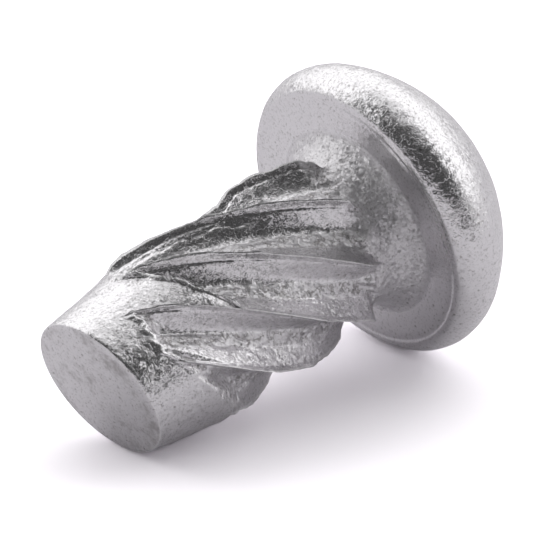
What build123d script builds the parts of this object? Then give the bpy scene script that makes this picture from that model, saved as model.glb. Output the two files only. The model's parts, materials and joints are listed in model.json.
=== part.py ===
"""Hammer drive screw: a round head, a multi-start drive thread and a tapered pilot, cold formed in one piece."""
import os
from math import asin, cos, degrees, radians, sin, tan

from build123d import *

# ---------------------------------------------------------------- driving dimensions, in millimetres
head_diameter = 4.2
shank_length = 4.7            # from the centre of the end face to the flat underside of the head

edge_radius = 0.42            # rounded lower edge of the head
edge_height = 0.357           # from the flat underside up to the widest circle of the head
shoulder_radius = 0.63        # rounded shoulder above the widest circle
shoulder_angle = 30           # degrees of shoulder arc before the crown arc takes over

thread_diameter = 2.5         # over the crests
root_diameter = 1.88          # at the foot of the steep flank
floor_diameter = 2.02         # where the torn floor of a groove meets the gentle flank
thread_starts = 8
thread_lead = 11.6            # axial travel of one crest in a full right-hand turn
crest_angle = 1.5             # degrees about the axis, of the first crest carried back to the end face
root_share = 0.36             # share of the pitch angle taken by the steep flank
floor_share = 0.66            # share of the pitch angle at which the gentle flank begins
crest_overrun = 0.02          # how far the flanks would rise past the blank, which leaves each crest a narrow land

pilot_diameter = 2.1          # at the end face
pilot_half_angle = 8.1        # degrees, the taper from the pilot up into the crests
groove_start = 0.50           # from the end face to where the grooves break the pilot's surface
groove_start_slope = 46       # degrees between the axis and the wall that starts each groove

crest_end = 3.95              # from the end face to where the crests stop
neck_start = 4.20             # where the broken crest ends have come down to the neck
neck_diameter = 2.09
neck_flare_diameter = 2.65    # where the neck runs into the underside of the head
groove_end = 3.75             # where the root begins to climb out of the groove
groove_end_slope = 43         # degrees between the axis and the wall that ends each groove

shear_lean_x = -0.032         # slopes of the sheared end face across the axis
shear_lean_y = -0.177
shear_edge_radius = 0.03

# ---------------------------------------------------------------- values worked out from them
head_radius = head_diameter / 2
shoulder_centre_r = head_radius - shoulder_radius
shoulder_centre_z = shank_length + edge_height
edge_centre_r = head_radius - edge_radius
edge_angle = degrees(asin(edge_height / edge_radius))
underside_radius = edge_centre_r + edge_radius * cos(radians(edge_angle))
crown_extra = shoulder_centre_r / cos(radians(shoulder_angle))
crown_radius = shoulder_radius + crown_extra
crown_centre_z = shoulder_centre_z - crown_extra * sin(radians(shoulder_angle))
crown_top_z = crown_centre_z + crown_radius

pilot_radius = pilot_diameter / 2
thread_radius = thread_diameter / 2
taper = tan(radians(pilot_half_angle))
taper_end = (thread_radius - pilot_radius) / taper
blank_below = 0.3             # spare length below the end face, which the shear cut removes
pitch_angle = 360 / thread_starts
twist_per_mm = 360 / thread_lead
groove_inner = 0.8            # the groove ring reaches from inside the roots to outside the crests
groove_outer = 1.5


def polar(radius, angle):
    """A point of the cross-section from its radius and its angle in degrees."""
    return (radius * cos(radians(angle)), radius * sin(radians(angle)))


# ---------------------------------------------------------------- the blank: everything that is round about the axis
with BuildPart() as blank:
    with BuildSketch(Plane.XZ) as outline:
        with BuildLine():
            foot = Line((0, -blank_below), (pilot_radius - blank_below * taper, -blank_below))
            cone = Line(foot @ 1, (thread_radius, taper_end))
            crests = Line(cone @ 1, (thread_radius, crest_end))
            broken_ends = Line(crests @ 1, (neck_diameter / 2, neck_start))
            neck = TangentArc(broken_ends @ 1, (neck_flare_diameter / 2, shank_length), tangent=(0, 1))
            underside = Line(neck @ 1, (underside_radius, shank_length))
            lower_edge = CenterArc(
                (edge_centre_r, shoulder_centre_z), edge_radius, -edge_angle, edge_angle
            )
            shoulder = CenterArc(
                (shoulder_centre_r, shoulder_centre_z), shoulder_radius, 0, shoulder_angle
            )
            crown = CenterArc((0, crown_centre_z), crown_radius, shoulder_angle, 90 - shoulder_angle)
            Line(crown @ 1, foot @ 0)
        make_face()
    revolve(axis=Axis.Z)

# ---------------------------------------------------------------- the section across the crests, level with the end face
with BuildSketch(Plane.XY) as thread_section:
    with BuildLine():
        corners = []
        for start in range(thread_starts):
            crest = crest_angle + start * pitch_angle
            corners.append(polar(thread_radius + crest_overrun, crest))
            corners.append(polar(root_diameter / 2, crest + root_share * pitch_angle))
            corners.append(polar(floor_diameter / 2, crest + floor_share * pitch_angle))
        Polyline(*corners, close=True)
    make_face()

# a twisted extrusion has no builder form
twisted_shank = Solid.extrude_linear_with_rotation(
    thread_section.sketch.face(),
    center=(0, 0, 0),
    normal=(0, 0, shank_length),
    angle=twist_per_mm * shank_length,
)

# ---------------------------------------------------------------- what the rolling dies press out: all grooves as one ring
start_slope = tan(radians(groove_start_slope))
end_slope = tan(radians(groove_end_slope))
with BuildPart() as grooves:
    with BuildSketch(Plane.XZ):
        with BuildLine():
            start_radius = pilot_radius + groove_start * taper
            Polyline(
                (groove_inner, groove_start + (start_radius - groove_inner) / start_slope),
                (groove_outer, groove_start + (start_radius - groove_outer) / start_slope),
                (groove_outer, groove_end + (groove_outer - root_diameter / 2) / end_slope),
                (groove_inner, groove_end + (groove_inner - root_diameter / 2) / end_slope),
                close=True,
            )
        make_face()
    revolve(axis=Axis.Z)
    add(twisted_shank, mode=Mode.SUBTRACT)

# ---------------------------------------------------------------- the screw, upright on its end face
end_plane = Plane(origin=(0, 0, 0), z_dir=(-shear_lean_x, -shear_lean_y, 1))
with BuildPart() as upright_screw:
    add(blank.part)
    add(grooves.part, mode=Mode.SUBTRACT)
    split(bisect_by=end_plane, keep=Keep.TOP)
    end_face = upright_screw.faces().sort_by(Axis.Z)[0]
    fillet(end_face.edges(), shear_edge_radius)

# ---------------------------------------------------------------- lying at rest on the rim of the head and the end's lower edge


def lowest_of_head(tilt):
    """Depth of the head's rounded lower edge below the axis origin, for a tilt in radians."""
    return edge_centre_r * cos(tilt) + edge_radius - shoulder_centre_z * sin(tilt)


def lowest_of_end(tilt):
    """Depth of the lower edge of the sheared end face below the axis origin."""
    edge_z = -shear_lean_y * pilot_radius / (1 + shear_lean_y * taper)
    return (pilot_radius + edge_z * taper) * cos(tilt) - edge_z * sin(tilt)


rest_tilt = asin((head_radius - pilot_radius) / shank_length)
for _ in range(20):
    rest_tilt += (lowest_of_head(rest_tilt) - lowest_of_end(rest_tilt)) / shoulder_centre_z

lying = Plane(origin=(0, 0, 0), x_dir=(0, 1, 0), z_dir=(cos(rest_tilt), 0, sin(rest_tilt)))
box = upright_screw.part.moved(lying.location).bounding_box()
rest_plane = Plane(
    origin=(-box.center().X, -box.center().Y, -box.min.Z), x_dir=lying.x_dir, z_dir=lying.z_dir
)

with BuildPart() as drive_screw:
    with Locations(rest_plane.location):
        add(upright_screw.part)

drive_screw.part.label = "drive_screw"
os.makedirs("parts", exist_ok=True)
export_step(drive_screw.part, "parts/drive_screw.step")

size = drive_screw.part.bounding_box().size
print(f"drive_screw: {len(drive_screw.solids())} solid, {drive_screw.part.volume:.3f} mm3")
print(f"box {size.X:.3f} x {size.Y:.3f} x {size.Z:.3f} mm, tilt {degrees(rest_tilt):.3f} degrees")
print(f"centre of the end face at {rest_plane.origin}")
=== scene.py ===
# %% [markdown]
# # A hammer drive screw
# This lesson builds the looks of a small cold-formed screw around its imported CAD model. The CAD
# model says where the screw lies and how large it is. The screw is one piece of steel, so it is one
# mesh here too: a single closed grid that runs from the middle of the sheared end, along the shank
# and round the head, to the top of the crown.

# %% The frame
import json
import bpy
import numpy as np
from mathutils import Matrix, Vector


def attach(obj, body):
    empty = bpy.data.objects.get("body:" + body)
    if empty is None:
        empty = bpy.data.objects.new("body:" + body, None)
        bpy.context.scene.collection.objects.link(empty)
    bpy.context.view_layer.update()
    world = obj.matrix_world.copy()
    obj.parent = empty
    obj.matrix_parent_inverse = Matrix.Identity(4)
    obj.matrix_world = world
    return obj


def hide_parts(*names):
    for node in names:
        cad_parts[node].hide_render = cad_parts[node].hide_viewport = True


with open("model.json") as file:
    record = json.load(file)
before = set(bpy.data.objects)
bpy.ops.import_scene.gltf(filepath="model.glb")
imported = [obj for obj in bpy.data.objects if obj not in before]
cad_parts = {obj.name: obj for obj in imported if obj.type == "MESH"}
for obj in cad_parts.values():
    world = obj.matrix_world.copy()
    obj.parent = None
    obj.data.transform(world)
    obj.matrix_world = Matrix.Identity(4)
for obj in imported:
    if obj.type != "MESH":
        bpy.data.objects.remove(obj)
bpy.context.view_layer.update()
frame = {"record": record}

MM = 0.001

# %% [markdown]
# ## The screw's own axes
# The screw lies on the rim of its head and on the lower edge of its end. It is easiest to shape it
# standing on its end and then to lay it down, so we need the centre of its end face and the
# direction of its axis. The record's mounts give both: `drive_shank` sits at the middle of the end
# face and points out of it.

# %% The screw's own axes
mounts = {mount["name"]: mount for mount in frame["record"]["mounts"]}
end_centre = np.array(mounts["drive_shank"]["pos_m"])
along = -np.array(mounts["drive_shank"]["axis"])
along /= np.linalg.norm(along)
across = np.array([0.0, 1.0, 0.0])
upward = np.cross(along, across)


def lay_down(x, y, z):
    """Turns points in the screw's own axes, in millimetres, into points of the row frame, in
    metres."""
    return end_centre + MM * (x[..., None] * across + y[..., None] * upward + z[..., None] * along)


print("lean of the axis", round(float(np.degrees(np.arcsin(along[2]))), 2), "degrees")

# %% [markdown]
# ## Driving sizes
# These are the sizes of the CAD model, in millimetres. Heights run along the axis from the middle
# of the end face. The crease, the ring and the dip beside it are marks of the heading die that only
# the looks have.

# %% Driving sizes
HEAD_R = 2.1
SEAT_Z = 4.7
EDGE_R = 0.42
EDGE_H = 0.357
SHOULDER_R = 0.63
SHOULDER_ANGLE = np.radians(30)
CREASE = np.radians(2.5)
RING_R, RING_RISE, RING_WIDTH = 1.845, 0.010, 0.022
DIP_R, DIP_DEPTH, DIP_WIDTH = 1.79, 0.008, 0.03
CREST_R = 1.25
ROOT_R = 0.94
FLOOR_R = 1.01
PILOT_R = 1.05
TAPER = np.tan(np.radians(8.1))
NECK_Z = 4.20
NECK_R = 1.045
FLARE_R = 1.325
STARTS = 8
LEAD = 11.6
CREST_ANGLE = np.radians(1.5)
SHEAR_X, SHEAR_Y = -0.032, -0.177
EDGE_ROUND = 0.03
PITCH = 2 * np.pi * CREST_R / STARTS
print("from crest to crest", round(PITCH, 3), "mm")

# %% [markdown]
# ## Smooth noise on the surface
# Torn metal, uneven crests and hammered skin all start from the same tool: random numbers on a
# lattice, blended smoothly in between. One direction wraps round the screw, so that there is no
# seam. From here on, a pattern is named by its number of cells round the screw, its pitch along the
# axis in millimetres and its seed.

# %% Smooth noise on the surface
LATTICE_ROWS, BELOW_ZERO = 1024, 64.0


def step(low, high, x):
    """0 below low, 1 above high, and the cubic 3t^2 - 2t^3 between them."""
    t = np.clip((x - low) / (high - low), 0.0, 1.0)
    return t * t * (3.0 - 2.0 * t)


def lattice_noise(turn, height, cells, pitch, seed):
    """Noise from -1 to 1: random values at lattice points, blended with the cubic step. turn is 0
    to 1 round the screw, over a whole number of cells; height is in millimetres, with one cell
    every pitch."""
    u, v = turn * cells, height / pitch + BELOW_ZERO
    iu, iv = np.floor(u).astype(int), np.floor(v).astype(int)
    fu, fv = step(0, 1, u - iu), step(0, 1, v - iv)
    table = np.random.default_rng(seed).uniform(-1, 1, (cells, LATTICE_ROWS))

    def corner(du, dv):
        return table[(iu + du) % cells, (iv + dv) % LATTICE_ROWS]

    low = corner(0, 0) * (1 - fu) + corner(1, 0) * fu
    high = corner(0, 1) * (1 - fu) + corner(1, 1) * fu
    return low * (1 - fv) + high * fv


def rough_noise(turn, height, cells, pitch, seed, octaves=3):
    """Lattice noise added up over octaves, each twice as fine and half as strong."""
    total = 0.0
    for octave in range(octaves):
        scale = 2 ** octave
        total = total + lattice_noise(turn, height, cells * scale, pitch / scale, seed + octave) / scale
    return total


def crack_noise(turn, height, cells, pitch, seed):
    """Sharp ridges from 0 to 1: one less the size of the noise, over two octaves, so that the zeros
    of the noise become thin crooked lines."""
    coarse = 1 - np.abs(lattice_noise(turn, height, cells, pitch, seed))
    fine = 1 - np.abs(lattice_noise(turn, height, cells * 2, pitch / 2, seed + 1))
    return 0.6 * coarse ** 3 + 0.4 * fine ** 3


def bead(distance, width):
    """A rounded ridge, 1 in the middle: the bell curve exp(-(distance / width)^2)."""
    return np.exp(-(distance / width) ** 2)


# %% [markdown]
# ## The blank's outline
# A drive screw starts as a length of wire with an upset head. Its outline is a few straight lines
# and arcs: the end face, the tapered pilot, the shank, a flared neck, the flat underside, a rounded
# lower edge, a shoulder and a crown. Each stretch gets as many rows as its detail needs: the
# shank's three stretches, with their first height, last height and number of rows, are the end's
# rounded edge, the thread and the neck. The heading die leaves a low ring on the underside, just
# inside the edge, and a faint crease where the shoulder meets the crown.

# %% The blank's outline
FINE_FROM_R = 1.70
SHANK_STRETCHES = ((0.012, 0.30, 10), (0.32, 4.30, 166), (4.33, SEAT_Z, 14))


def shank_radius(z):
    """Radius over the shank before rolling: a cone up to the crests' radius, then a cylinder."""
    return np.minimum(PILOT_R + TAPER * z, CREST_R)


def neck_radius(z):
    """Radius of the neck, which flares up to the head on an arc that starts parallel to the
    axis."""
    rise, run = FLARE_R - NECK_R, SEAT_Z - NECK_Z
    arc_r = (rise ** 2 + run ** 2) / (2 * rise)
    return NECK_R + arc_r - np.sqrt(arc_r ** 2 - np.clip(z - NECK_Z, 0, run) ** 2)


def arc(centre_r, centre_z, radius, first, last, count):
    """Points (radius, height) along a circle's arc, leaving out its first point."""
    t = np.linspace(first, last, count + 1)[1:]
    return np.stack([centre_r + radius * np.cos(t), centre_z + radius * np.sin(t)], 1)


def head_outline():
    """Points from the neck's foot over the underside, the lower edge, the shoulder and the crown,
    to just short of the crown's top. The crown's arc is centred on the axis and starts at the
    shoulder's end, turned by the crease."""
    centre_z = SEAT_Z + EDGE_H
    edge_angle = np.arcsin(EDGE_H / EDGE_R)
    seat_r = HEAD_R - EDGE_R + EDGE_R * np.cos(edge_angle)
    plain_r = np.linspace(FLARE_R, FINE_FROM_R, 6)[1:]
    under_r = np.concatenate([plain_r, np.linspace(FINE_FROM_R, seat_r, 12)[1:]])
    ring = RING_RISE * bead(under_r - RING_R, RING_WIDTH) - DIP_DEPTH * bead(under_r - DIP_R, DIP_WIDTH)
    under = np.stack([under_r, SEAT_Z - ring], 1)
    edge = arc(HEAD_R - EDGE_R, centre_z, EDGE_R, -edge_angle, 0, 10)
    shoulder = arc(HEAD_R - SHOULDER_R, centre_z, SHOULDER_R, 0, SHOULDER_ANGLE, 8)
    crown_angle = SHOULDER_ANGLE + CREASE
    crown_z = shoulder[-1, 1] - shoulder[-1, 0] * np.tan(crown_angle)
    crown_r = shoulder[-1, 0] / np.cos(crown_angle)
    crown = arc(0, crown_z, crown_r, crown_angle, np.pi / 2, 22)[:-1]
    return np.concatenate([under, edge, shoulder, crown]), crown_z + crown_r


head_rz, crown_top = head_outline()
face_r = (PILOT_R - EDGE_ROUND) * np.sqrt(np.linspace(0, 1, 10)[1:])
shank_z = np.concatenate([np.linspace(*stretch) for stretch in SHANK_STRETCHES])
print("rows", len(face_r) + len(shank_z) + len(head_rz), "crown at", round(crown_top, 3), "mm")

# %% [markdown]
# ## Columns that follow the thread
# Columns run along the crests, not parallel to the axis, so a crest is a clean line of vertices.
# Inside each start they crowd together at the crest, where the metal is sharpest.

# %% Columns that follow the thread
PER_START = 48
CROWDING = 0.62
DRIFT, DRIFT_PHASE = np.radians(3.5), 0.9
TWIST_FROM, TWIST_TO = 0.2, 4.3
even = np.arange(PER_START) / PER_START
share = even - CROWDING * np.sin(2 * np.pi * even) / (2 * np.pi)
start = np.repeat(np.arange(STARTS), PER_START)
within = np.tile(share, STARTS)
turn = (start + within) / STARTS
print("columns", len(turn))


def column_angle(turn, z):
    """Angle about the axis: one full turn per lead, only where there is thread, and crests a little
    unevenly spaced."""
    drift = DRIFT * np.sin(2 * np.pi * turn + DRIFT_PHASE)
    return 2 * np.pi * (turn + np.clip(z, TWIST_FROM, TWIST_TO) / LEAD) + CREST_ANGLE + drift


# %% [markdown]
# ## The rolled thread
# The dies press eight grooves into the shank and push the metal up into crests between them. Each
# groove has a smooth steep flank under the crest, a torn rough floor, and a smooth gentle flank
# that rises to the next crest. No two grooves begin or end at the same height, so those heights are
# a small table: a row for each groove, a column for each share of the way from one crest to the
# next.

# %% The rolled thread
STEEP_END, STEEP_POWER = 0.40, 0.9
GENTLE_START, GENTLE_POWER = 0.70, 1.25
NARROW_FLOOR, WIDENS_FROM, WIDENS_TO = 0.05, 0.7, 2.2
START_SHARES = np.array([0.0, 0.17, 0.42, 0.69, 0.85, 1.0])
START_HEIGHTS = np.array([
    [1.10, 1.06, 1.00, 0.94, 0.88, 0.86],
    [0.82, 1.00, 1.20, 1.42, 1.62, 1.78],
    [0.50, 0.50, 0.47, 0.45, 0.47, 0.72],
    [0.62, 0.72, 0.86, 1.05, 1.20, 1.30],
    [1.26, 1.30, 1.34, 1.36, 1.38, 1.40],
    [1.30, 1.32, 1.34, 1.36, 1.38, 1.40],
    [1.00, 1.06, 1.16, 1.26, 1.34, 1.40],
    [1.04, 1.10, 1.20, 1.30, 1.36, 1.30],
])
START_RAMPS = np.array([0.14, 0.10, 0.24, 0.50, 0.60, 0.50, 0.40, 0.30])
END_HEIGHTS = np.array([3.86, 3.80, 3.84, 3.84, 3.84, 3.84, 3.90, 4.06])
END_LENGTH = 0.32
START_EDGE, START_RAGGED = (64, 0.5, 11), 0.035
END_EDGE, END_RAGGED = (40, 0.35, 21), 0.09


def groove_radius(share, z):
    """Radius of the rolled form: from the crest down a steep flank (a quarter sine), along the
    floor (a straight line), up a gentle flank (a power curve) to the next crest. Where the groove
    begins, the floor is narrow and the gentle flank is long."""
    widened = step(WIDENS_FROM, WIDENS_TO, z)
    gentle_start = STEEP_END + NARROW_FLOOR + (GENTLE_START - STEEP_END - NARROW_FLOOR) * widened
    quarter_sine = np.sin(np.pi / 2 * np.clip(share / STEEP_END, 0, 1))
    steep = CREST_R - (CREST_R - ROOT_R) * quarter_sine ** STEEP_POWER
    across_floor = np.clip((share - STEEP_END) / (gentle_start - STEEP_END), 0, 1)
    floor = ROOT_R + (FLOOR_R - ROOT_R) * across_floor
    up_flank = np.clip((share - gentle_start) / (1 - gentle_start), 0, 1)
    gentle = FLOOR_R + (CREST_R - FLOOR_R) * up_flank ** GENTLE_POWER
    return np.where(share < STEEP_END, steep, np.where(share < gentle_start, floor, gentle))


def groove_beginning(share, start, z, turn):
    """Distance past the line where the groove begins, in millimetres, and how far the groove has
    opened, 0 to 1."""
    line = np.stack([np.interp(share[0], START_SHARES, row) for row in START_HEIGHTS])
    line = line[start[0], np.arange(share.shape[1])]
    line = line + START_RAGGED * rough_noise(turn, np.full(z.shape, 3.0), *START_EDGE)
    past = z - line
    return past, step(0.0, 1.0, past / START_RAMPS[start])


def thread_end(z, turn):
    """0 on the thread and 1 on the neck. The crests crumble away over a third of a millimetre, at
    ragged heights."""
    around = np.arange(STARTS + 1) / STARTS
    level = np.interp(turn, around, np.append(END_HEIGHTS, END_HEIGHTS[0]))
    return step(0.0, END_LENGTH, z - level - END_RAGGED * rough_noise(turn, z, *END_EDGE))


# %% [markdown]
# ## Putting the shank together
# The plain shank, the grooves, the crumbled ends and the neck are blended row by row. On top come
# the marks of rolling: cracks and overlapping flakes on the torn floors, a thin lip that stands up
# along each crest with a fine notch under it (the plating gives it a painted highlight), and the
# same kind of lip where a groove has pushed metal back over the pilot.

# %% The shank's grid
zz, tt = np.meshgrid(shank_z, turn, indexing="ij")
ss = np.broadcast_to(within, zz.shape)
st = np.broadcast_to(start, zz.shape)
past, opening = groove_beginning(ss, st, zz, tt)
ended = thread_end(zz, tt)
plain = shank_radius(zz)
radius = plain + opening * (np.minimum(groove_radius(ss, zz), plain) - plain)
radius = radius + ended * (neck_radius(zz) - radius)
rolled = opening * (1 - ended)

past_steep = step(STEEP_END - 0.02, STEEP_END + 0.05, ss)
on_gentle = step(GENTLE_START - 0.03, GENTLE_START + 0.05, ss)
floor_band = past_steep * (1 - on_gentle)
START_TORN, END_TORN = 0.9, 3.2
ramp_band = 4 * opening * (1 - opening)
torn = np.clip(rolled * floor_band + START_TORN * ramp_band + END_TORN * ended * (1 - ended), 0, 1)
print("torn share of the shank", round(float(torn.mean()), 3))

# %% [markdown]
# A flake is a tiny step: the surface rises slowly and then drops, like a roof tile. A sawtooth
# along the height does that, with its phase shifted by noise so that the steps wander and break up.

# %% Torn metal
FLAKE, FLAKE_RISE = 0.16, 0.016
FLAKE_BREAKS, FLAKE_WANDER = (80, 0.20, 51, 2), (48, 0.6, 55)
CRACKS, CRACK_DEPTH = (80, 0.17, 31), 0.032
LUMPS, LUMP_RISE = (72, 0.22, 35), 0.014
phase = zz / FLAKE + 1.3 * rough_noise(tt, zz, *FLAKE_BREAKS) + 2.0 * lattice_noise(tt, zz, *FLAKE_WANDER)
flakes = phase - np.floor(phase)
cracks = crack_noise(tt, zz, *CRACKS)
lumps = rough_noise(tt, zz, *LUMPS)
radius = radius + torn * (FLAKE_RISE * (flakes - 0.5) - CRACK_DEPTH * cracks + LUMP_RISE * lumps)

# %% [markdown]
# The lip rises slowly on the gentle side of its crest and drops quickly on the steep side, with a
# fine notch below it. Each crest has its own lip height, and each groove its own height of lip
# where it begins. The last crest is low until two thirds of the way up, as if the die had pressed
# less metal into it.

# %% Lips, skin and the low crest
from_crest = np.where(ss > 0.5, ss - 1, ss) * PITCH
crest_of = np.where(ss > 0.5, (st + 1) % STARTS, st)
LIP_RISE, LIP_DROP = 0.038, 0.014
LIP_HEIGHTS = np.array([0.066, 0.074, 0.080, 0.056, 0.040, 0.036, 0.040, 0.056])
LIP_WAVER = (16, 0.22, 41)
NOTCH_AT, NOTCH_WIDTH, NOTCH_SHARE = 0.038, 0.018, 0.30
lip_strength = LIP_HEIGHTS[crest_of] * (0.80 + 0.40 * rough_noise(crest_of / STARTS, zz, *LIP_WAVER))
on_thread = step(0.0, 0.25, past + 0.1) * (1 - ended)
lip = np.where(from_crest < 0, 1 + from_crest / LIP_RISE, 1 - from_crest / LIP_DROP).clip(0, 1)
notch = NOTCH_SHARE * bead(from_crest - NOTCH_AT, NOTCH_WIDTH)
radius = radius + on_thread * lip_strength * (lip - notch)

START_LIPS = np.array([0.012, 0.075, 0.034, 0.010, 0.006, 0.006, 0.006, 0.010])
START_LIP_WAVER = (64, 0.2, 45)
at_start = bead(past + 0.01, 0.030)
start_lip = START_LIPS[st] * at_start * (0.8 + 0.5 * rough_noise(tt, zz, *START_LIP_WAVER))
radius = radius + (1 - ended) * start_lip

SKIN, SKIN_RISE = (64, 0.14, 61), 0.0035
skin = SKIN_RISE * rough_noise(tt, zz, *SKIN) * step(0.05, 0.4, zz)
LOW_CREST, LOW_CREST_DROP, LOW_CREST_WIDTH = 7, 0.12, 0.45
from_low_crest = np.abs((tt * STARTS - LOW_CREST + 0.5) % STARTS - 0.5)
low_crest = bead(from_low_crest, LOW_CREST_WIDTH) * (1 - step(3.0, 3.25, zz))
radius = radius + skin - LOW_CREST_DROP * low_crest * opening
angle = column_angle(tt, zz)

# %% [markdown]
# One steep flank, on the side that lies uppermost, has a second torn line half way down, where the
# die's skin of metal has rolled over itself. It is a crooked bead along the thread. All lips and
# burrs together make one mask, `lips`, for the metal that stands up highest, which is worn and is
# given a painted highlight.

# %% A rolled-over burr
BURR_START, BURR_SHARE = 0, 0.17
BURR_RISE, BURR_WIDTH = 0.030, 0.022
BURR_WANDER, BURR_WAVER = (4, 0.22, 71), (64, 0.1, 75)
wander = BURR_SHARE + 0.035 * rough_noise(0 * tt, zz, *BURR_WANDER)
over = (ss - wander) * PITCH
in_stretch = step(1.2, 1.5, zz) * (1 - step(2.7, 3.0, zz)) * (st == BURR_START)
burr = in_stretch * bead(over, BURR_WIDTH) * (0.7 + 0.5 * rough_noise(tt, zz, *BURR_WAVER))
radius = radius + BURR_RISE * burr
on_starts = at_start * START_LIPS[st] / START_LIPS.max() * (1 - ended)
lips = np.clip(1.2 * on_thread * lip + 1.5 * on_starts + burr, 0, 1)

# %% [markdown]
# ## The sheared end
# The wire was cut off between two blades, so the end face leans a little and has a fine rounded
# edge. The lean fades out along the pilot.

# %% The sheared end
LEAN_REACH = 0.5
lean = (SHEAR_X * np.cos(angle) + SHEAR_Y * np.sin(angle)) * radius
near_edge = np.clip(1 - zz / EDGE_ROUND, 0, 1)
radius = radius - EDGE_ROUND * (1 - np.sqrt(1 - near_edge ** 2))
height = zz + lean * np.clip(1 - zz / LEAN_REACH, 0, 1)

rr, ft = np.meshgrid(face_r, turn, indexing="ij")
face_angle = column_angle(ft, 0 * ft)
face_x, face_y = rr * np.cos(face_angle), rr * np.sin(face_angle)
face_z = SHEAR_X * face_x + SHEAR_Y * face_y

# %% [markdown]
# ## The head
# The head is turned from its outline. Cold heading leaves its flank a little wrinkled, so the
# outline moves in and out by a few thousandths of a millimetre. The wrinkles fade out on the
# underside and towards the top of the crown.

# %% The head
hr, ht = np.meshgrid(head_rz[:, 0], turn, indexing="ij")
hz = np.broadcast_to(head_rz[:, 1][:, None], hr.shape)
WRINKLES, WRINKLE_RISE = (48, 0.22, 81), 0.004
wrinkles = WRINKLE_RISE * rough_noise(ht, hz, *WRINKLES) * step(SEAT_Z + 0.02, SEAT_Z + 0.15, hz)
wrinkles = wrinkles * step(0.3, 0.9, hr)
head_angle = column_angle(ht, np.full(ht.shape, TWIST_TO))
head_x, head_y = (hr + wrinkles) * np.cos(head_angle), (hr + wrinkles) * np.sin(head_angle)

# %% [markdown]
# ## One closed mesh
# The rows of the face, the shank and the head follow one another, so quads between neighbouring
# rows and a fan of triangles at each end close the whole skin. Arrays go into the mesh in one call
# each.

# %% One closed mesh


def closed_mesh(name, rows, first, last):
    """Joins a grid of rows that each go once round, and closes both ends with a fan to a single
    point."""
    count, columns = rows.shape[:2]
    points = np.concatenate([rows.reshape(-1, 3), first[None], last[None]])
    index = np.arange(count * columns).reshape(count, columns)
    right = np.roll(index, -1, axis=1)
    quads = np.stack([index[:-1], right[:-1], right[1:], index[1:]], -1).reshape(-1, 4)
    low, high = count * columns, count * columns + 1
    bottom = np.stack([np.full(columns, low), right[0], index[0]], -1)
    top = np.stack([np.full(columns, high), index[-1], right[-1]], -1)
    loops = np.concatenate([quads.ravel(), bottom.ravel(), top.ravel()])
    sizes = np.concatenate([np.full(len(quads), 4), np.full(2 * columns, 3)])
    mesh = bpy.data.meshes.new(name)
    mesh.vertices.add(len(points))
    mesh.vertices.foreach_set("co", points.ravel())
    mesh.loops.add(len(loops))
    mesh.loops.foreach_set("vertex_index", loops.astype(np.int32))
    mesh.polygons.add(len(sizes))
    starts = np.concatenate([[0], np.cumsum(sizes)[:-1]])
    mesh.polygons.foreach_set("loop_start", starts.astype(np.int32))
    mesh.update(calc_edges=True)
    mesh.validate()
    mesh.polygons.foreach_set("use_smooth", np.ones(len(sizes), dtype=bool))
    print(name, len(points), "vertices,", int((sizes - 2).sum()), "triangles")
    return mesh


face_rows = lay_down(face_x, face_y, face_z)
shank_rows = lay_down(radius * np.cos(angle), radius * np.sin(angle), height)
head_rows = lay_down(head_x, head_y, hz)
end_pole = lay_down(*np.zeros((3, 1)))[0]
crown_pole = lay_down(*np.array([[0], [0], [crown_top]]))[0]
all_rows = np.concatenate([face_rows, shank_rows, head_rows])
mesh = closed_mesh("screw_surface", all_rows, end_pole, crown_pole)
screw = bpy.data.objects.new("screw_surface", mesh)
bpy.context.scene.collection.objects.link(screw)
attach(screw, "root")
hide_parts("drive_screw")

# %% [markdown]
# ## Where each finish lies
# The material has to know which metal is torn, which is a lip (worn, and given a painted highlight),
# which is matt, which is the sheared face and which is smooth. Those are numbers per vertex, worked
# out from the same masks as the shape, so they follow the thread exactly.

# %% Where each finish lies


def paint(name, face_values, shank_values, head_values, poles):
    """Writes one number per vertex as an attribute, part by part from the end to the crown, then
    the two poles."""
    grids = ((face_values, rr), (shank_values, zz), (head_values, hr))
    parts = [np.ravel(np.broadcast_to(values, grid.shape)) for values, grid in grids]
    values = np.concatenate(parts + [np.array(poles)])
    mesh.attributes.new(name, "FLOAT", "POINT").data.foreach_set("value", values.astype(np.float32))
    print(name, "covers", round(float(values.mean()), 3))


underside = 1 - step(SEAT_Z - 0.02, SEAT_Z + 0.04, hz)
flare_fade = 1 - step(FLARE_R - 0.02, FLARE_R + 0.05, hr)
paint("torn", 0.0, torn, 0.0, [0, 0])
paint("lip", 0.0, lips, 0.0, [0, 0])
paint("matt", 0.0, step(3.95, 4.25, zz), underside * flare_fade, [0, 0])
paint("sheared", 1.0, 1 - step(0.0, 0.02, zz), 0.0, [1, 0])
paint("smooth", 0.9, 0.0, underside * (1 - flare_fade), [0.9, 0])

# %% [markdown]
# ## Bright zinc over cold-formed steel
# Barrel-plated zinc is bright but not a mirror. Under a lens its skin is a patchwork of tiny
# facets, each tilted its own way, with a few pits. Random tilts per Voronoi cell give the facets; a
# softer noise gives the wrinkles between them. All patterns use Object coordinates, so they stay
# with the screw. The cell below makes short names for the nodes that are used again and again.

# %% Bright zinc over cold-formed steel
steel = bpy.data.materials.new("bright_zinc_plate")
steel.use_nodes = True
nodes, links = steel.node_tree.nodes, steel.node_tree.links
shader = nodes["Principled BSDF"]
shader.inputs["Metallic"].default_value = 1.0


def put(tree, kind, inputs, **settings):
    """Adds a node, makes its settings, then gives its inputs, by number or name: a socket is
    linked, anything else is set."""
    node = tree.nodes.new(kind)
    for name, value in settings.items():
        setattr(node, name, value)
    for key, value in inputs.items():
        if isinstance(value, bpy.types.NodeSocket):
            tree.links.new(value, node.inputs[key])
        else:
            node.inputs[key].default_value = value
    return node


def maths(tree, operation, first, second=0.0):
    """One step of arithmetic on two numbers."""
    return put(tree, "ShaderNodeMath", {0: first, 1: second}, operation=operation).outputs[0]


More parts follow.
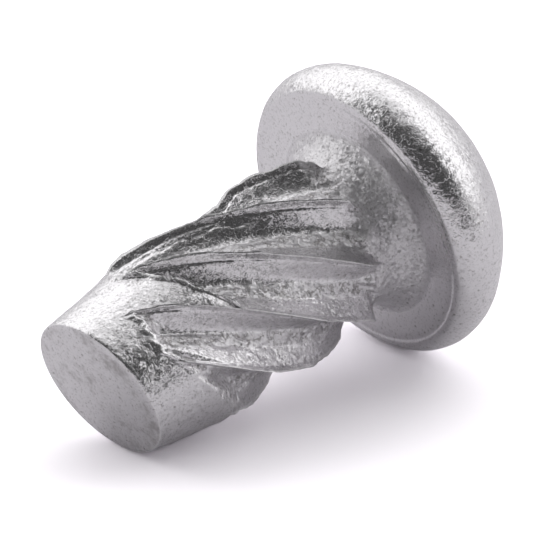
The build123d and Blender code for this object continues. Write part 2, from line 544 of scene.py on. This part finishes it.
def vectors(tree, operation, first, second):
    """One step of arithmetic on two vectors."""
    return put(tree, "ShaderNodeVectorMath", {0: first, 1: second}, operation=operation).outputs[0]


def scaled(tree, vector, factor):
    """A vector made longer or shorter."""
    return put(tree, "ShaderNodeVectorMath", {0: vector, "Scale": factor}, operation="SCALE").outputs[0]


def ramp(tree, value, low, high, first, last):
    """first below low, last above high, and a smooth step between them."""
    inputs = {"Value": value, "From Min": low, "From Max": high, "To Min": first, "To Max": last}
    return put(tree, "ShaderNodeMapRange", inputs, interpolation_type="SMOOTHSTEP").outputs["Result"]


def blend(tree, factor, first, second):
    """A colour between two, by a factor from 0 to 1."""
    return put(tree, "ShaderNodeMix", {0: factor, 6: first, 7: second}, data_type="RGBA").outputs[2]


def noise(tree, vector, per_mm, detail, roughness=0.5):
    """Soft noise with about this many features per millimetre."""
    inputs = {"Vector": vector, "Scale": per_mm, "Detail": detail, "Roughness": roughness}
    return put(tree, "ShaderNodeTexNoise", inputs)


def painted(tree, name):
    """Reads one of the mesh's painted numbers."""
    node = tree.nodes.new("ShaderNodeAttribute")
    node.attribute_name = name
    return node.outputs["Fac"]


tree = steel.node_tree
torn_mask, lip_mask = painted(tree, "torn"), painted(tree, "lip")
matt_mask, sheared_mask = painted(tree, "matt"), painted(tree, "sheared")
smooth_mask = painted(tree, "smooth")
coords = nodes.new("ShaderNodeTexCoord")
in_mm = scaled(tree, coords.outputs["Object"], 1 / MM)
WARP_PER_MM, WARP_AMOUNT = 22.0, 0.03
warp = noise(tree, in_mm, WARP_PER_MM, 2.0)
warped = vectors(tree, "ADD", in_mm, scaled(tree, warp.outputs["Color"], WARP_AMOUNT))

# %% [markdown]
# Each Voronoi cell has a random colour. Taken as a vector about zero, it tips the surface's normal
# one way or another. Torn and matt metal is tipped more, and smooth metal hardly at all. Where a
# second noise crosses its middle value it leaves a net of thin folds, which stand up a little in
# the relief.

# %% Facets and folds
FINE_FACETS, COARSE_FACETS = 46.0, 21.0
TORN_TILT, MATT_TILT, SMOOTH_TILT = 0.16, 0.24, 0.8
FOLD_WIDTH, FOLD_RELIEF, SMOOTH_RELIEF = 0.035, 0.16, 0.7
RELIEF_HEIGHT = 0.012 * MM


def facet_tilt(per_mm, amount):
    """A random tilt per cell, with this many cells per millimetre and this strength, which may be a
    socket."""
    cells = put(tree, "ShaderNodeTexVoronoi", {"Vector": warped, "Scale": per_mm})
    centred = vectors(tree, "SUBTRACT", cells.outputs["Color"], (0.5, 0.5, 0.5))
    return scaled(tree, centred, amount)


uneven = noise(tree, in_mm, 3.5, 3.0).outputs["Fac"]
tilt = ramp(tree, uneven, 0.35, 0.65, 0.07, 0.22)
tilt = maths(tree, "ADD", tilt, maths(tree, "MULTIPLY", torn_mask, TORN_TILT))
tilt = maths(tree, "ADD", tilt, maths(tree, "MULTIPLY", matt_mask, MATT_TILT))
less_tilt = maths(tree, "MULTIPLY", smooth_mask, SMOOTH_TILT)
tilt = maths(tree, "MULTIPLY", tilt, maths(tree, "SUBTRACT", 1.0, less_tilt))
tilts = vectors(tree, "ADD", facet_tilt(FINE_FACETS, tilt), facet_tilt(COARSE_FACETS, tilt))

wrinkle = noise(tree, warped, 9.0, 5.0, 0.62).outputs["Fac"]
crossing = noise(tree, warped, 5.5, 3.0, 0.6).outputs["Fac"]
from_middle = maths(tree, "ABSOLUTE", maths(tree, "SUBTRACT", crossing, 0.5))
folds = ramp(tree, from_middle, 0.0, FOLD_WIDTH, 1.0, 0.0)
relief = maths(tree, "ADD", wrinkle, maths(tree, "MULTIPLY", folds, FOLD_RELIEF))
less_relief = maths(tree, "MULTIPLY", smooth_mask, SMOOTH_RELIEF)
relief = maths(tree, "MULTIPLY", relief, maths(tree, "SUBTRACT", 1.0, less_relief))
bump = put(tree, "ShaderNodeBump", {"Height": relief, "Distance": RELIEF_HEIGHT})
tipped = vectors(tree, "ADD", bump.outputs["Normal"], tilts)
normal = put(tree, "ShaderNodeVectorMath", {0: tipped}, operation="NORMALIZE").outputs[0]
links.new(normal, shader.inputs["Normal"])

# %% [markdown]
# Pits are cells whose random number is high, dark only near their middle. The dark colour in the pits
# and in the folds of torn metal is painted shade. Fine specks and stains on the sheared face are the
# metal's own tone. Where two of them meet the darker one counts. Lips are lighter than the rest:
# partly wear, partly a painted highlight. Each kind of metal adds its own share to the roughness.

# %% Pits, colour and roughness
PITS_PER_MM, PIT_SHADE, FOLD_SHADE = 9.0, 0.6, 0.70
SPECKS_PER_MM, STAINS_PER_MM = 26.0, 2.2
ZINC, GRIME_AND_SHADE, WORN_AND_HIGHLIGHT = (0.82, 0.805, 0.825, 1), (0.16, 0.14, 0.13, 1), (0.93, 0.92, 0.93, 1)
pit_cells = put(tree, "ShaderNodeTexVoronoi", {"Vector": warped, "Scale": PITS_PER_MM})
number = put(tree, "ShaderNodeSeparateColor", {0: pit_cells.outputs["Color"]}).outputs[0]
chosen = ramp(tree, number, 0.80, 0.84, 0.0, 1.0)
pits = maths(tree, "MULTIPLY", chosen, ramp(tree, pit_cells.outputs["Distance"], 0.10, 0.22, 1.0, 0.0))
speckle = noise(tree, in_mm, SPECKS_PER_MM, 4.0, 0.7).outputs["Fac"]
specks = ramp(tree, speckle, 0.30, 0.48, 0.55, 0.0)
# Painted shade: pits and the folds of torn metal get the dark colour, together with the specks' and
# stains' own tone.
grime_and_shade = maths(tree, "MAXIMUM", maths(tree, "MULTIPLY", pits, PIT_SHADE), specks)
torn_folds = maths(tree, "MULTIPLY", maths(tree, "MULTIPLY", folds, torn_mask), FOLD_SHADE)
grime_and_shade = maths(tree, "MAXIMUM", grime_and_shade, torn_folds)
stain = noise(tree, in_mm, STAINS_PER_MM, 6.0, 0.75).outputs["Fac"]
stains = maths(tree, "MULTIPLY", ramp(tree, stain, 0.48, 0.68, 0.0, 0.50), sheared_mask)
grime_and_shade = maths(tree, "MAXIMUM", grime_and_shade, stains)
# Lips get the lighter colour: partly wear, partly a painted highlight along the crests.
links.new(blend(tree, lip_mask, blend(tree, grime_and_shade, ZINC, GRIME_AND_SHADE), WORN_AND_HIGHLIGHT), shader.inputs["Base Color"])

rough = ramp(tree, speckle, 0.3, 0.7, 0.26, 0.16)
ROUGHER = ((torn_mask, 0.20), (matt_mask, 0.30), (sheared_mask, 0.18), (lip_mask, 0.10))
for mask, amount in ROUGHER:
    rough = maths(tree, "ADD", rough, maths(tree, "MULTIPLY", mask, amount))
links.new(rough, shader.inputs["Roughness"])
mesh.materials.append(steel)
print("nodes in the plating", len(nodes))

# %% [markdown]
# ## The table
# The screw lies on a plain pale sheet. To the camera the sheet is bright enough to be white outside
# the shadow; the metal sees it at a plain level.

# %% The table
floor_mesh = bpy.data.meshes.new("floor")
corners = [(-1, -1, 0), (1, -1, 0), (1, 1, 0), (-1, 1, 0)]
floor_mesh.from_pydata(corners, [], [(0, 1, 2, 3)])
floor = bpy.data.objects.new("floor", floor_mesh)
bpy.context.scene.collection.objects.link(floor)
paper = bpy.data.materials.new("paper")
paper.use_nodes = True
nodes, links = paper.node_tree.nodes, paper.node_tree.links
nodes.remove(nodes["Principled BSDF"])
path = nodes.new("ShaderNodeLightPath")
to_camera, through_glass = path.outputs["Is Camera Ray"], path.outputs["Is Transmission Ray"]
seen = maths(paper.node_tree, "MAXIMUM", to_camera, through_glass)
PAPER, BRIGHT_PAPER = (0.92, 0.90, 0.93, 1), (2.16, 2.10, 2.18, 1)
colour = blend(paper.node_tree, seen, PAPER, BRIGHT_PAPER)
diffuse = put(paper.node_tree, "ShaderNodeBsdfDiffuse", {"Color": colour})
links.new(diffuse.outputs[0], nodes["Material Output"].inputs["Surface"])
floor_mesh.materials.append(paper)

# %% [markdown]
# ## The studio
# A bright metal shows its surroundings more than itself. Here they are a white room with a broad
# soft light all round at the back and sides, and a dark quarter on the side that we look from. The
# world works this out from the direction's azimuth and elevation with smooth steps, so there is no
# lamp to place. The brightest band lies between the horizon and the upper part of the room, and the
# camera itself sees plain white.

# %% The studio
DARK_AZIMUTH = np.radians(-136)
DARKNESS, TOP_LIGHT = 0.05, 0.60
LOW_LIGHT, BAND_LIGHT = 0.80, 1.30
WHITE = (1, 1, 1, 1)
world = bpy.data.worlds.new("studio")
bpy.context.scene.world = world
world.use_nodes = True
sky = world.node_tree
direction = sky.nodes.new("ShaderNodeTexCoord").outputs["Generated"]
parts = put(sky, "ShaderNodeSeparateXYZ", {0: direction}).outputs
elevation = maths(sky, "ARCSINE", parts[2])
level_part = maths(sky, "SQRT", maths(sky, "SUBTRACT", 1.0001, maths(sky, "MULTIPLY", parts[2], parts[2])))
x_part = maths(sky, "MULTIPLY", parts[0], np.cos(DARK_AZIMUTH))
y_part = maths(sky, "MULTIPLY", parts[1], np.sin(DARK_AZIMUTH))
towards_dark = maths(sky, "ADD", x_part, y_part)
from_dark = maths(sky, "ARCCOSINE", maths(sky, "DIVIDE", towards_dark, level_part))

lit_side = ramp(sky, from_dark, np.radians(57), np.radians(97), DARKNESS, 1.0)
lit_top = ramp(sky, elevation, np.radians(52), np.radians(87), DARKNESS, TOP_LIGHT)
lit = maths(sky, "MAXIMUM", lit_side, lit_top)
band_low = ramp(sky, elevation, np.radians(6), np.radians(14), LOW_LIGHT, BAND_LIGHT)
band_high = ramp(sky, elevation, np.radians(56), np.radians(68), 1.0, TOP_LIGHT)
brightness = maths(sky, "MULTIPLY", lit, maths(sky, "MULTIPLY", band_low, band_high))
path = sky.nodes.new("ShaderNodeLightPath")
shown = blend(sky, path.outputs["Is Camera Ray"], brightness, WHITE)
sky.links.new(shown, sky.nodes["Background"].inputs["Color"])

# %% [markdown]
# ## The camera
# A long lens from low on the end's side shows the sheared face, the thread and the underside of the
# head. The point it aims at is placed from the screw's axis, in millimetres along the axis, to the
# right and up, so it follows the frame.

# %% The camera
VIEW_AZIMUTH, VIEW_ELEVATION = np.radians(-42.79), np.radians(25.09)
DISTANCE = 126 * MM
LENS, SENSOR = 637.2, 36
AIM_ALONG, AIM_RIGHT, AIM_UP = 2.339, 0.546, 0.4546
back = np.array([
    np.sin(VIEW_AZIMUTH) * np.cos(VIEW_ELEVATION),
    -np.cos(VIEW_AZIMUTH) * np.cos(VIEW_ELEVATION),
    np.sin(VIEW_ELEVATION),
])
right = np.array([np.cos(VIEW_AZIMUTH), np.sin(VIEW_AZIMUTH), 0.0])
up = np.cross(back, right)
aim = end_centre + MM * (AIM_ALONG * along + AIM_RIGHT * right + AIM_UP * up)
camera_data = bpy.data.cameras.new("camera")
camera = bpy.data.objects.new("camera", camera_data)
bpy.context.scene.collection.objects.link(camera)
camera.location = Vector(aim + back * DISTANCE)
camera.rotation_euler = Vector(back).to_track_quat("Z", "Y").to_euler()
camera_data.lens = LENS
camera_data.sensor_width = SENSOR
camera_data.clip_start = 0.001
bpy.context.scene.camera = camera
bpy.context.scene.view_settings.view_transform = "Standard"
